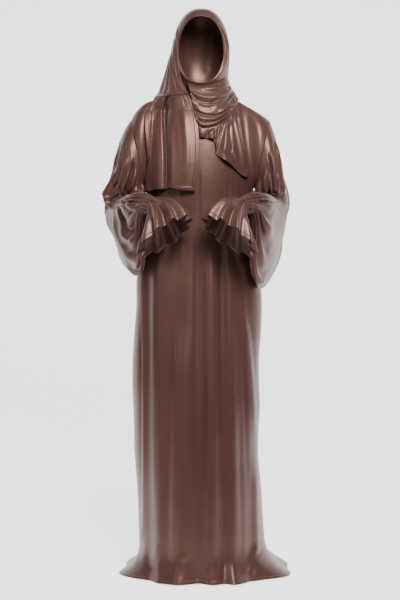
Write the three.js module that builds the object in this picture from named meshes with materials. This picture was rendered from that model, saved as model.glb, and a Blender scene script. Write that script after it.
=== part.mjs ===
import * as THREE from "three";

// A worn prayer dress with its own head scarf, in millimetres, +Z up.
// The figure faces -Y and the wearer's left is +X. Heights in the tables are above the floor.
// The last lines move the origin to the back of the neckline, where the wearer carries the dress.

const { abs, asin, cos, exp, hypot, max, min, PI, sign, sin, sqrt } = Math;
const DEG = PI / 180;

// Satin, lighter where the scarf catches the light
const COLOUR = { dress: 0x6b483f, sleeve: 0x6f4b42, band: 0x66443b, ruffle: 0x734f45, scarf: 0x7a554b };

// Cloth and seams
const WALL = 1.5;
const SEAM_GAP = 0.3;
const LIFT = WALL + SEAM_GAP;
const FOLDED_SEAM = 1.5;

// Where the garment is carried: the middle of the back neckline
const CARRY = { y: 62, z: 1436 };

// Shoulder, armhole and neckline of the dress
const UNDERARM_Z = 1150;
const UNDERARM_X = 160;
const SHOULDER_TIP_X = 207;
const SHOULDER_TIP_Z = 1352;
const ARMHOLE_DEPTH = 62;
const NECK_X = 72;
const NECK_Y = 8;
const NECK_Z = 1440;
const NECK_FRONT_Y = -66;
const NECK_FRONT_Z = 1405;
const NECK_SHARE = 0.42;

// Turns rows of plain values into rows with named columns.
function table(columns, rows) {
  const names = columns.split(" ");
  return rows.map((row) => Object.fromEntries(names.map((name, i) => [name, row[i]])));
}

// Sections of the body from the hem to the underarm: half widths on each side, and depths.
const BODY = table("z right left front back", [
  [2, 240, 274, 214, 292],
  [12, 225, 258, 210, 282],
  [30, 202, 234, 204, 268],
  [65, 185, 203, 196, 253],
  [140, 185, 192, 190, 236],
  [246, 189, 185, 184, 220],
  [351, 197, 176, 176, 203],
  [430, 199, 177, 170, 190],
  [500, 201, 180, 163, 180],
  [572, 204, 178, 156, 170],
  [650, 202, 178, 148, 160],
  [725, 197, 184, 140, 150],
  [806, 191, 186, 132, 140],
  [885, 190, 180, 125, 126],
  [940, 176, 170, 121, 117],
  [1000, 162, 161, 118, 110],
  [1080, 162, 163, 116, 106],
  [1150, 160, 160, 116, 104],
]);

// How far the pooled hem runs out on the floor round the dress, by bearing from the front.
const HEM_LOBES = table("bearing reach", [
  [-180, 4],
  [-150, -9],
  [-124, 12],
  [-98, -10],
  [-72, 11],
  [-47, -8],
  [-22, 8],
  [0, -6],
  [20, 9],
  [42, -9],
  [66, 12],
  [92, -8],
  [116, 13],
  [146, -10],
  [180, 4],
]);
const LOBE_HEIGHT = 70;

// Top of each shoulder, from the neck to the dropped tip: the left one slopes more.
const SHOULDER = table("x right left", [
  [72, 1440, 1440],
  [100, 1431, 1420],
  [136, 1415, 1398],
  [166, 1403, 1381],
  [192, 1378, 1364],
  [207, 1352, 1352],
]);

// Long folds of the skirt: x at the lower and upper end, their heights, depth outwards, half width.
const FRONT_FOLDS = table("lowX lowZ highX highZ depth half", [
  [-150, 20, -156, 1000, -13, 15],
  [-122, 0, -128, 1090, 7, 14],
  [-62, 0, -50, 760, 9, 24],
  [-6, 0, -2, 1060, -9, 18],
  [34, 0, 33, 1000, 8, 18],
  [70, 0, 60, 1120, -10, 13],
  [100, 0, 86, 1160, 8, 16],
  [176, 330, 111, 900, 9, 16],
  [150, 0, 150, 420, -10, 16],
  [-200, 0, -178, 260, 8, 20],
]);

const BACK_FOLDS = table("lowX lowZ highX highZ depth half", [
  [-170, 0, -120, 1000, -12, 18],
  [-120, 0, -84, 1120, 10, 20],
  [-64, 0, -44, 1180, -11, 17],
  [-14, 0, -8, 1120, 11, 20],
  [40, 0, 30, 1160, -11, 18],
  [92, 0, 68, 1100, 10, 20],
  [140, 0, 104, 1180, -12, 18],
  [190, 0, 138, 980, 9, 18],
]);

// Sections of the arm, from the armhole to the hem of the ruffle, x being outwards.
// lean, tilt and turn set the plane: towards the shoulder, towards the front and inwards.
// front becomes the top of the forearm and back its underside, where the sleeve hangs as a bag.
const ARM = table("x y z lean tilt turn front outer back inner sway gather", [
  [184, 0, 1251, 76, 0, 0, 62, 104, 62, 104, 0, 0],
  [199, 0, 1237, 68, 0, 0, 68, 84, 68, 95, 0, 0],
  [206, 4, 1200, 58, 0, 0, 72, 76, 78, 84, 0, 0],
  [213, 10, 1155, 42, 5, 0, 74, 62, 88, 64, 0, 0],
  [219, 14, 1121, 18, 19, 3, 66, 64, 108, 52, 0, 0],
  [221, 2, 1099, 3, 38, 8, 53, 61, 134, 51, 3, 0],
  [219, -22, 1086, 0, 60, 13, 46, 52, 168, 49, 8, 0],
  [211, -66, 1085, 0, 80, 18, 43, 43, 190, 42, 12, 1],
  [199, -106, 1088, 0, 90, 22, 41, 41, 188, 40, 14, 2.5],
  [183, -140, 1093, 0, 90, 26, 38, 40, 150, 38, 12, 3.6],
  [168, -164, 1099, 0, 86, 36, 33, 35, 84, 34, 6, 3.4],
  [157, -179, 1101, 0, 80, 45, 28, 30, 40, 30, 0, 2.2],
  [146, -189, 1099, 0, 74, 53, 25, 25, 25, 25, 0, 1.4],
  [137, -195, 1094, 0, 68, 58, 25, 25, 25, 25, 0, 1.6],
  [126, -201, 1085, 0, 60, 60, 36, 35, 38, 35, 0, 4],
  [113, -208, 1064, 0, 50, 60, 58, 54, 66, 56, 0, 7],
  [103, -213, 1038, 0, 42, 58, 72, 66, 86, 70, 0, 10],
  [96, -217, 1012, 0, 38, 56, 80, 74, 96, 80, 0, 12],
]);
const BAND_START = 12;
const BAND_END = 13;
// How much of an arm's own narrowness each ring takes, and how far the low part is pinched.
const NARROWING = table("index share", [
  [0, 0],
  [1, 0.55],
  [4, 1],
  [7, 1],
  [9, 0],
]);
const LOW_PINCH = 0.4;
const SLEEVE_GATHERS = 16;
const RUFFLE_WAVES = 10;

// The hood: rings that fan back about a line below the chin, from the face to the nape.
// near and far are measured from that line, setback moves the sides of the face opening back.
const CHIN_LINE = { x: 3.5, y: -80, z: 1440 };
const HOOD = table("fan near far half setback", [
  [0, 17, 212, 66.5, 22],
  [5, 16, 232, 74, 16],
  [12, 15, 247, 80, 8],
  [20, 14, 253, 83, 2],
  [30, 13, 249, 84.5, 0],
  [42, 12, 235, 84.5, 0],
  [56, 11, 213, 83, 0],
  [70, 10, 191, 80, 0],
  [82, 8, 170, 76, 0],
]);
const NECK_RING = HOOD.length;
const CROWN_SQUARENESS = 0.87;

// Seam at the lower edge of the drop, from beside the chin over the wearer's right shoulder.
const DROP_SEAM = table("u x y z", [
  [0, -33, -94, 1424],
  [0.3, -72, -88, 1422],
  [0.6, -112, -60, 1420],
  [0.82, -137, -12, 1421],
  [1, -134, 38, 1417],
]);
const DROP_TOP = { frontY: -54, backY: 34, z: 1588, lowZ: 1468 };
const FLOUNCE_END = 0.84;

// Edges and gathers of the flounce from its seam (0) to its hem (1).
const FLOUNCE = table("v inner outer", [
  [0, -33, -137],
  [0.25, -14, -160],
  [0.45, -6, -166],
  [0.75, -2, -160],
  [1, -13, -150],
]);
const FLOUNCE_HEM = table("u z", [
  [0, 1139],
  [0.25, 1140],
  [0.5, 1146],
  [0.75, 1143],
  [1, 1136],
]);
const FLOUNCE_FOLDS = table("u height", [
  [0, 0.5],
  [0.12, 0.75],
  [0.3, 0.95],
  [0.46, 1],
  [0.53, 0.72],
  [0.59, 0.05],
  [0.65, 0.75],
  [0.76, 0.92],
  [0.85, 0.72],
  [0.93, 0.85],
  [1, 0.5],
]);
const FLOUNCE_FREE_Z = 1380;

// Lower edges of the two neck wraps and hem of the scarf end, across the chest.
const WRAP_EDGE = table("u x z", [
  [0, -17, 1374],
  [0.3, 8, 1362],
  [0.6, 50, 1361],
  [0.8, 78, 1382],
  [1, 102, 1410],
]);
const SWAG_EDGE = table("u x z", [
  [0, -4, 1330],
  [0.3, 10, 1321],
  [0.6, 42, 1328],
  [0.8, 74, 1352],
  [1, 107, 1396],
]);
const END_HEM = table("u x z", [
  [0, -3, 1295],
  [0.2, 18, 1292],
  [0.36, 38, 1287],
  [0.5, 45, 1262],
  [0.6, 50, 1243],
  [0.75, 90, 1211],
  [0.88, 130, 1181],
  [1, 141, 1223],
]);

const END_RIPPLES = table("u height", [
  [0, 0.1],
  [0.1, 0.9],
  [0.2, 0.15],
  [0.31, 1],
  [0.4, 0.2],
  [0.5, 0.75],
  [0.58, 0.1],
  [0.68, 1],
  [0.8, 0.35],
  [0.9, 0.6],
  [1, 0.1],
]);

// Guide lines of the scarf behind: on the hood, over the shoulders, and the hem on the back.
const SCARF_BACK = table("u angle station midX midY midZ hemX hemY hemZ", [
  [0, 80, 7.6, 106, 10, 1433, 116, 36, 1420],
  [0.25, 45, 7.4, 72, 70, 1420, 84, 84, 1340],
  [0.5, 0, 7, 0, 102, 1400, 0, 112, 1290],
  [0.75, -34, 6, -84, 74, 1430, -84, 92, 1310],
  [1, -50, 4.6, -132, 47, 1424, -142, 68, 1360],
]);

// The two arms differ a little: how far in the wrist is, how far out and down the bag hangs.
const ARMS = [
  { name: "right", sign: -1, wristIn: 0, outer: 1, sag: 1, sway: 1.4 },
  { name: "left", sign: 1, wristIn: 16, outer: 0.72, sag: 1.2, sway: 1.9 },
];

const clamp = (value, low, high) => min(high, max(low, value));
const mix = (a, b, t) => a + (b - a) * t;
const smooth = (t) => clamp(t, 0, 1) ** 2 * (3 - 2 * clamp(t, 0, 1));
const point = (x, y, z) => new THREE.Vector3(x, y, z);

// Smooth value of one column of a table, at a place along another, rising, column.
function read(rows, along, at, column) {
  const last = rows.length - 1;
  let i = 0;
  while (i < last - 1 && at > rows[i + 1][along]) i++;
  const slope = (k) => {
    const before = rows[max(k - 1, 0)];
    const after = rows[min(k + 1, last)];
    return (after[column] - before[column]) / (after[along] - before[along]);
  };
  const span = rows[i + 1][along] - rows[i][along];
  const t = clamp((at - rows[i][along]) / span, 0, 1);
  const start = rows[i][column];
  const end = rows[i + 1][column];
  const curve = start * (2 * t ** 3 - 3 * t ** 2 + 1) + end * (3 * t ** 2 - 2 * t ** 3);
  return curve + span * (slope(i) * (t ** 3 - 2 * t ** 2 + t) + slope(i + 1) * (t ** 3 - t ** 2));
}

// Catmull-Rom blend through four points, for rings that are worked out one by one.
function blendRings(ringPoint, last, station) {
  const i = clamp(Math.floor(station), 0, last - 1);
  const t = station - i;
  const before = ringPoint(max(i - 1, 0));
  const start = ringPoint(i);
  const end = ringPoint(i + 1);
  const after = ringPoint(min(i + 2, last));
  return point(0, 0, 0)
    .addScaledVector(before, (-t + 2 * t ** 2 - t ** 3) / 2)
    .addScaledVector(start, (2 - 5 * t ** 2 + 3 * t ** 3) / 2)
    .addScaledVector(end, (t + 4 * t ** 2 - 3 * t ** 3) / 2)
    .addScaledVector(after, (-(t ** 2) + t ** 3) / 2);
}

// Outward direction at a point of a surface(u, v), where v runs to the left of u.
function normalAt(surface, u, v) {
  const step = 1e-3;
  const alongU = surface(u + step, v).sub(surface(u - step, v));
  const alongV = surface(u, v + step).sub(surface(u, v - step));
  return alongU.cross(alongV).normalize();
}

// A cloth wall: the surface, the same moved in by the wall, and rims along the open edges.
// tube closes it round u, and seam may turn the direction in which an edge is moved in.
function clothWall(surface, across, along, { tube = false, seam = null } = {}) {
  const columns = tube ? across : across + 1;
  const grid = [];
  for (let j = 0; j <= along; j++) {
    for (let i = 0; i < columns; i++) grid.push(surface(i / across, j / along));
  }
  const placeAt = (i, j) => {
    const column = tube ? (i + columns) % columns : clamp(i, 0, across);
    return grid[clamp(j, 0, along) * columns + column];
  };
  const positions = [];
  for (const depth of [0, WALL]) {
    for (let j = 0; j <= along; j++) {
      for (let i = 0; i < columns; i++) {
        const alongU = placeAt(i + 1, j).clone().sub(placeAt(i - 1, j));
        const alongV = placeAt(i, j + 1).clone().sub(placeAt(i, j - 1));
        const normal = alongU.cross(alongV).normalize();
        if (seam) seam(normal, i / across, j / along);
        const place = placeAt(i, j).clone().addScaledVector(normal, -depth);
        positions.push(place.x, place.y, place.z);
      }
    }
  }
  const at = (layer, i, j) => (layer * (along + 1) + j) * columns + (i % columns);
  const faces = [];
  const quad = (a, b, c, d) => faces.push(a, b, c, a, c, d);
  for (let j = 0; j < along; j++) {
    for (let i = 0; i < across; i++) {
      quad(at(0, i, j), at(0, i + 1, j), at(0, i + 1, j + 1), at(0, i, j + 1));
      quad(at(1, i, j), at(1, i, j + 1), at(1, i + 1, j + 1), at(1, i + 1, j));
    }
  }
  for (let i = 0; i < across; i++) {
    quad(at(0, i, 0), at(1, i, 0), at(1, i + 1, 0), at(0, i + 1, 0));
    quad(at(0, i, along), at(0, i + 1, along), at(1, i + 1, along), at(1, i, along));
  }
  for (let j = 0; j < along && !tube; j++) {
    quad(at(0, 0, j), at(0, 0, j + 1), at(1, 0, j + 1), at(1, 0, j));
    quad(at(0, across, j), at(1, across, j), at(1, across, j + 1), at(0, across, j + 1));
  }
  const geometry = new THREE.BufferGeometry();
  geometry.setAttribute("position", new THREE.Float32BufferAttribute(positions, 3));
  geometry.setIndex(faces);
  geometry.computeVertexNormals();
  return geometry;
}

// How far the long folds push the cloth out at (x, z).
function foldShift(folds, x, z) {
  let shift = 0;
  for (const fold of folds) {
    const share = (z - fold.lowZ) / (fold.highZ - fold.lowZ);
    const off = (x - mix(fold.lowX, fold.highX, share)) / fold.half;
    const fade = smooth((fold.highZ - z) / 160) * smooth((z - fold.lowZ + 60) / 60);
    shift += fold.depth * exp(-off * off) * fade;
  }
  return shift;
}

// The body below the underarm, at a bearing in degrees: 0 is the front and 90 the wearer's left.
function bodySection(bearing, z) {
  const across = sin(bearing * DEG);
  const ahead = cos(bearing * DEG);
  const half = read(BODY, "z", z, across > 0 ? "left" : "right");
  const depth = read(BODY, "z", z, ahead > 0 ? "front" : "back");
  const x = half * across;
  const folds = foldShift(ahead > 0 ? FRONT_FOLDS : BACK_FOLDS, x, z);
  const round = bearing > 180 ? bearing - 360 : bearing;
  const lobe = read(HEM_LOBES, "bearing", round, "reach") * smooth(1 - z / LOBE_HEIGHT);
  return point(x + lobe * across, -ahead * (depth + lobe + folds * min(1, abs(ahead) * 3)), z);
}

// The upper edge of the dress: shoulder seam from the tip to the neck, then the neckline.
function topEdge(bearing) {
  const front = cos(bearing * DEG) > 0;
  const fromCentre = front ? abs(bearing) / 90 : abs(180 - bearing) / 90;
  const side = sin(bearing * DEG) < 0 ? -1 : 1;
  if (fromCentre > NECK_SHARE) {
    const share = (fromCentre - NECK_SHARE) / (1 - NECK_SHARE);
    const x = mix(NECK_X, SHOULDER_TIP_X, share);
    const z = read(SHOULDER, "x", x, side < 0 ? "right" : "left");
    return point(side * x, mix(NECK_Y, 0, share), z);
  }
  const angle = (fromCentre / NECK_SHARE) * 90 * DEG;
  const middleY = front ? NECK_FRONT_Y : CARRY.y;
  const middleZ = front ? NECK_FRONT_Z : CARRY.z;
  const y = mix(NECK_Y, middleY, cos(angle));
  return point(side * NECK_X * sin(angle), y, mix(NECK_Z, middleZ, cos(angle) ** 2));
}

// The dress at a bearing, from the hem (0) past the underarm (BELOW_ARM) to the top edge (1).
const BELOW_ARM = 0.7;
const HEM_CROWDING = 1.5;
const HEM_Z = BODY[0].z;
function dressPoint(bearing, rise) {
  if (rise <= BELOW_ARM) {
    const share = (max(rise, 0) / BELOW_ARM) ** HEM_CROWDING;
    return bodySection(bearing, mix(HEM_Z, UNDERARM_Z, share));
  }
  const arc = mix(-90, 90, (rise - BELOW_ARM) / (1 - BELOW_ARM)) * DEG;
  const share = (1 + sin(min(arc, 90 * DEG))) / 2;
  const front = cos(bearing * DEG) > 0;
  const fromCentre = front ? abs(bearing) / 90 : abs(180 - bearing) / 90;
  const low = bodySection(bearing, UNDERARM_Z);
  const top = topEdge(bearing);
  const outward = front ? -1 : 1;
  const armhole = ARMHOLE_DEPTH * cos(arc) * smooth((fromCentre - 0.5) / 0.45);
  const depth = outward * mix(top.y, low.y, cos(share * 90 * DEG));
  const fuller = hypot(max(depth, 0), armhole) - max(depth, 0);
  const y = outward * (depth + fuller + 0.2 * share ** 4);
  const z = mix(low.z, top.z, mix(sin(share * 90 * DEG), share, fromCentre ** 4));
  return point(mix(low.x, top.x, share), y, z);
}

// The front and back panels stop just short of the side seams and of the shoulder seams.
const SIDE_STOP = 0.06;
const frontPanel = (u, v) => dressPoint(mix(-90 + SIDE_STOP, 90 - SIDE_STOP, u), v);
const backPanel = (u, v) => dressPoint(mix(90 + SIDE_STOP, 270 - SIDE_STOP, u), v);
function alongSeam(normal, u, v) {
  const atEdge = u === 0 || u === 1;
  if (atEdge && v > BELOW_ARM && v < 1) {
    withinArmhole(normal, normal.x < 0 ? -1 : 1);
  } else if (atEdge || v === 1) {
    normal.setY(0).normalize();
  }
}

// Turns a direction into the slanted plane of the armhole.
function withinArmhole(normal, sign) {
  const slant = SHOULDER_TIP_X - UNDERARM_X;
  const height = SHOULDER_TIP_Z - UNDERARM_Z;
  const axis = point(sign * height, 0, -slant).normalize();
  normal.addScaledVector(axis, -normal.dot(axis)).normalize();
}

// One ring of an arm at an angle: 0 front or top, 90 outer, 180 back or underside, 270 inner.
function armRing(side, index, angle) {
  if (index === 0) return armholeRing(side, angle);
  const row = ARM[index];
  const lean = row.lean * DEG;
  const tilt = row.tilt * DEG;
  const turn = row.turn * DEG;
  const upZ = point(0, 0, 1);
  const aside = point(1, 0, 0);
  const outward = point(cos(lean), 0, sin(lean)).applyAxisAngle(aside, -tilt);
  const ahead = point(0, -1, 0).applyAxisAngle(aside, -tilt);
  outward.applyAxisAngle(upZ, -turn);
  ahead.applyAxisAngle(upZ, -turn);
  const across = sin(angle);
  const along = cos(angle);
  const outer = row.outer * mix(1, side.outer, read(NARROWING, "index", index, "share"));
  const pinch = 1 - LOW_PINCH * max(-cos(angle), 0) ** 2 * row.sway / 12;
  const back = row.back * (index > 5 && index < 11 ? side.sag : 1);
  const waves = index > BAND_END ? RUFFLE_WAVES : SLEEVE_GATHERS;
  const ripple = row.gather * cos(waves * angle);
  const reachOut = (across > 0 ? outer : row.inner) * pinch;
  const reachAhead = along > 0 ? row.front : back;
  const centre = point(row.x - side.wristIn * clamp((index - 5) / 7, 0, 1), row.y, row.z);
  centre.addScaledVector(outward, across * (reachOut + ripple));
  centre.addScaledVector(outward, -row.sway * side.sway * ((1 - along) / 2) ** 2);
  centre.addScaledVector(ahead, along * (reachAhead + ripple));
  return point(side.sign * centre.x, centre.y, centre.z);
}

// The armhole seam of the sleeve, one seam gap outside the edges of the front and back.
function armholeRing(side, angle) {
  const share = (1 + sin(angle)) / 2;
  const x = mix(UNDERARM_X, SHOULDER_TIP_X, share) + 2 * SEAM_GAP;
  return point(side.sign * x, -ARMHOLE_DEPTH * cos(angle), mix(UNDERARM_Z, SHOULDER_TIP_Z, share));
}

// A stretch of an arm as a surface, from one station of the table to another.
function armSurface(side, start, end) {
  return (u, v) => {
    const ring = (index) => armRing(side, index, -side.sign * u * 2 * PI);
    return blendRings(ring, ARM.length - 1, mix(start, end, v));
  };
}

// The neckline as a loop: angle 0 is the front and 90 the wearer's left.
function neckline(angle) {
  const ahead = cos(angle);
  const y = mix(NECK_Y, ahead > 0 ? NECK_FRONT_Y : CARRY.y, abs(ahead));
  const z = mix(NECK_Z, ahead > 0 ? NECK_FRONT_Z : CARRY.z, ahead ** 2);
  return point(NECK_X * sin(angle), y, z);
}

// One ring of the hood: angle 0 is the crown or nape side, 180 the chin.
function hoodRing(index, angle) {
  if (index === NECK_RING) return neckline(PI - angle).add(point(0, 0, 2 * SEAM_GAP));
  const row = HOOD[index];
  const fan = row.fan * DEG;
  const reach = (row.near + row.far) / 2 + ((row.far - row.near) / 2) * cos(angle);
  const back = row.setback * sin(angle) ** 2;
  return point(
    CHIN_LINE.x + row.half * sign(sin(angle)) * abs(sin(angle)) ** CROWN_SQUARENESS,
    CHIN_LINE.y + reach * sin(fan) + back * cos(fan),
    CHIN_LINE.z + reach * cos(fan) - back * sin(fan),
  );
}
const hood = (u, v) => blendRings((index) => hoodRing(index, u * 2 * PI), NECK_RING, v * NECK_RING);

// A point of a surface moved out along its normal.
function movedOut(surface, u, v, lift) {
  return surface(u, v).addScaledVector(normalAt(surface, u, v), lift);
}

// The place (u, v) on a surface where two of its coordinates have the wanted values.
function locate(surface, axes, wanted, start) {
  const [first, second] = axes;
  const step = 1e-4;
  let [u, v] = start;
  for (let round = 0; round < 10; round++) {
    const here = surface(u, v);
    const byU = surface(u + step, v).sub(here).divideScalar(step);
    const byV = surface(u, v + step).sub(here).divideScalar(step);
    const missFirst = wanted[0] - here[first];
    const missSecond = wanted[1] - here[second];
    const scale = byU[first] * byV[second] - byV[first] * byU[second];
    u += (missFirst * byV[second] - byV[first] * missSecond) / scale;
    v += (byU[first] * missSecond - missFirst * byU[second]) / scale;
  }
  return [u, v];
}

// A point above the front of the dress at (x, z), moved out by lift.
function onFront(x, z, lift) {
  const start = z > UNDERARM_Z ? 0.86 : 0.69;
  const [u, v] = locate(frontPanel, ["x", "z"], [x, z], [0.5 + asin(x / 210) / PI, start]);
  return movedOut(frontPanel, u, v, lift);
}

// The point of a guide line at u.
function readPoint(rows, u) {
  return point(read(rows, "u", u, "x"), read(rows, "u", u, "y"), read(rows, "u", u, "z"));
}

// The drop: from the hood at the temple out to its seam over the shoulder.
function dropSurface(u, v) {
  const y = mix(DROP_TOP.frontY, DROP_TOP.backY, u);
  const z = mix(DROP_TOP.z, DROP_TOP.lowZ, v);
  const [hu, hv] = locate(hood, ["y", "z"], [y, z], [0.75, mix(0.1, 0.6, u)]);
  const onHood = movedOut(hood, hu, hv, LIFT + 0.3 + 10 * v);
  const folds = 4 * sin(3 * PI * u) ** 2 * sin(PI * v);
  onHood.x -= folds;
  return onHood.lerp(readPoint(DROP_SEAM, u), clamp(v, 0, 1) ** 1.3);
}

// The flounce: gathered on the seam of the drop, lying on the chest lower down.
function flounceSurface(u, v) {
  const top = readPoint(DROP_SEAM, u * FLOUNCE_END);
  top.z -= 1.55 * FOLDED_SEAM;
  const x = mix(read(FLOUNCE, "v", v, "inner"), read(FLOUNCE, "v", v, "outer"), u);
  const z = mix(top.z, read(FLOUNCE_HEM, "u", u, "z"), max(v, 0) ** 1.5);
  const gather = read(FLOUNCE_FOLDS, "u", u, "height");
  const lift = LIFT + 2 + (9 + 10 * v) * gather;
  const onChest = onFront(x, min(z, FLOUNCE_FREE_Z), lift);
  const share = sin(clamp(v / 0.3, 0, 1) * 90 * DEG);
  return point(mix(top.x, onChest.x, share), mix(top.y, onChest.y, share), z);
}

// The upper wrap: from the hood under the chin down to its edge on the chest.
const wrapEdge = (u) => onFront(read(WRAP_EDGE, "u", u, "x"), read(WRAP_EDGE, "u", u, "z"), 16);
function wrapUpperSurface(u, v) {
  const angle = mix(205, 82, u) / 360;
  const station = mix(3.6, 7.6, clamp(u, 0, 1) ** 1.5) / NECK_RING;
  const top = movedOut(hood, angle, station, LIFT + 0.2);
  const out = 12 * sin(PI * v) * (1 - 0.5 * u) + 4 * sin(3 * PI * v) * (1 - u);
  const place = wrapEdge(u).lerp(top, v);
  return place.add(point(0.4 * out * u, -out * (1 - 0.4 * u), 0.3 * out));
}

// The lower wrap: the swag between the upper wrap and the scarf end.
const swagEdge = (u) => onFront(read(SWAG_EDGE, "u", u, "x"), read(SWAG_EDGE, "u", u, "z"), 11);
function wrapLowerSurface(u, v) {
  const top = wrapEdge(u);
  top.z -= FOLDED_SEAM;
  const out = 9 * sin(PI * v) * (1 - 0.6 * u);
  return swagEdge(u).lerp(top, v).add(point(0, -out, -0.4 * out));
}

// The scarf end: fanned over the breast, lying closer to the dress towards its hem.
function scarfEndSurface(u, v) {
  const above = sqrt(clamp(u, 0, 1));
  const x = mix(read(END_HEM, "u", u, "x"), read(SWAG_EDGE, "u", above, "x"), v);
  const z = mix(read(END_HEM, "u", u, "z"), read(SWAG_EDGE, "u", above, "z") - FOLDED_SEAM, v);
  const low = LIFT + 1 + 14 * read(END_RIPPLES, "u", u, "height");
  return onFront(x, z, mix(low, 11, smooth(v)));
}

// The scarf behind: from the hood over the shoulders to a plain hem on the back.
function scarfBackSurface(u, v) {
  const at = (column) => read(SCARF_BACK, "u", u, column);
  const top = movedOut(hood, at("angle") / 360, at("station") / NECK_RING, LIFT + 0.2);
  const middle = point(at("midX"), at("midY"), at("midZ"));
  const hem = point(at("hemX"), at("hemY"), at("hemZ"));
  const t = clamp(v, 0, 1);
  return hem
    .multiplyScalar((1 - t) * (1 - 2 * t))
    .addScaledVector(middle, 4 * t * (1 - t))
    .addScaledVector(top, t * (2 * t - 1));
}

const garment = new THREE.Group();

function addPiece(name, geometry, color, roughness = 0.42) {
  const material = new THREE.MeshStandardMaterial({ color, roughness, metalness: 0 });
  const mesh = new THREE.Mesh(geometry, material);
  mesh.name = name;
  garment.add(mesh);
}

addPiece("dress_front", clothWall(frontPanel, 30, 20, { seam: alongSeam }), COLOUR.dress);
addPiece("dress_back", clothWall(backPanel, 24, 20, { seam: alongSeam }), COLOUR.dress);

for (const side of ARMS) {
  const gap = 0.05;
  const sleeve = armSurface(side, 0, BAND_START - gap);
  const band = armSurface(side, BAND_START, BAND_END - gap);
  const ruffle = armSurface(side, BAND_END + gap, ARM.length - 1);
  const seam = (normal, u, v) => {
    if (v === 0) withinArmhole(normal, side.sign);
  };
  addPiece(`sleeve_${side.name}`, clothWall(sleeve, 32, 14, { tube: true, seam }), COLOUR.sleeve);
  addPiece(`wrist_band_${side.name}`, clothWall(band, 32, 1, { tube: true }), COLOUR.band);
  addPiece(`cuff_ruffle_${side.name}`, clothWall(ruffle, 40, 4, { tube: true }), COLOUR.ruffle);
}

addPiece("hood", clothWall(hood, 24, 11, { tube: true }), COLOUR.scarf);
addPiece("scarf_drop", clothWall(dropSurface, 10, 6), COLOUR.scarf);
addPiece("scarf_flounce", clothWall(flounceSurface, 20, 8), COLOUR.scarf);
addPiece("neck_wrap_upper", clothWall(wrapUpperSurface, 12, 5), COLOUR.scarf);
addPiece("neck_wrap_lower", clothWall(wrapLowerSurface, 12, 3), COLOUR.scarf);
addPiece("scarf_end", clothWall(scarfEndSurface, 18, 8), COLOUR.scarf);
addPiece("scarf_back", clothWall(scarfBackSurface, 16, 6), COLOUR.scarf);

garment.position.set(0, -CARRY.y, -CARRY.z);
garment.updateMatrixWorld(true);

export default garment;
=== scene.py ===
# %% [markdown]
# # A satin prayer dress with its own head scarf
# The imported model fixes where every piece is. Here each piece of cloth gets a finer skin on the
# same form: long folds, gathers, hems and satin. Lengths in the tables are millimetres above the
# floor, because a maker thinks in millimetres, and become metres only when a mesh is made.

# %% Load the frame
import math
import bpy
import numpy as np
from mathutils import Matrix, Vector


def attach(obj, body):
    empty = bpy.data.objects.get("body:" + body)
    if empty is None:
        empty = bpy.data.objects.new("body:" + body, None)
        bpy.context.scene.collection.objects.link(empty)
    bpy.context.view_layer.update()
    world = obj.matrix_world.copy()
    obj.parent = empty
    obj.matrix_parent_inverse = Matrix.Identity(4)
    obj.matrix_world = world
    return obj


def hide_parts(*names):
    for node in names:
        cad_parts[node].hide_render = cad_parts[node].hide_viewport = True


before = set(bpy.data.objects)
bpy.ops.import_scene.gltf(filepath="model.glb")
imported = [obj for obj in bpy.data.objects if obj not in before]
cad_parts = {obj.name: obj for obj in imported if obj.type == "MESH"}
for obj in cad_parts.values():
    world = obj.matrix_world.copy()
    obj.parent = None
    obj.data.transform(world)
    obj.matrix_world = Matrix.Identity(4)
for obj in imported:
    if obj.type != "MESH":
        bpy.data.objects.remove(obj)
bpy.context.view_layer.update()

CARRY = np.array([0.0, 62.0, 1436.0])   # the origin: middle of the back neckline
DEG = math.pi / 180

# %% [markdown]
# ## Camera
# The photograph looks almost level at the hanging dress, from about 4.6 m away and 1 m up, so a
# long lens pitched down by 2.3 degrees repeats its view. The frame is 400 x 600.

# %% Camera
CAMERA_DISTANCE = 4600.0
CAMERA_HEIGHT = 1000.0
CAMERA_PITCH = 2.29
CAMERA_LENS = 92.0
SENSOR_WIDTH = 36.0


def in_frame(point):
    """Millimetres above the floor to metres from the origin."""
    return (np.asarray(point, float) - CARRY) / 1000


camera = bpy.data.objects.new("camera", bpy.data.cameras.new("camera"))
camera.data.lens = CAMERA_LENS
camera.data.sensor_width = SENSOR_WIDTH
camera.location = in_frame((0, -CAMERA_DISTANCE, CAMERA_HEIGHT))
camera.rotation_euler = ((90 - CAMERA_PITCH) * DEG, 0, 0)
bpy.context.scene.collection.objects.link(camera)
bpy.context.scene.camera = camera
print("camera at", tuple(camera.location))

# %% [markdown]
# ## Studio
# The backdrop is one pale sheet that curves up behind the dress, so no horizon shows. Satin is
# drawn by what it reflects: a large soft lamp high in front gives the broad highlights along the
# folds, and it stands near, so the light falls off towards the hem. A weak one opens the shadows.
# The floor in front glows little, because it would light the skirt from below.

# %% Backdrop and lamps
BACKDROP = dict(half=4.5, front=-6.0, back=2.2, bend=1.2, top=5.0)
BACKDROP_TONE = (0.80, 0.80, 0.80, 1)
GLOW_FADE = (-0.8, -0.38)    # in front of the dress the floor glows less, in metres
PAPER_GLOW = 1.75            # the backdrop is lit on its own, as in a studio
FRONT_GLOW = 0.05
PAPER_ROUGHNESS = 0.9
ROOM_LIGHT = 0.05
CURVE_STEPS = 12


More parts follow.
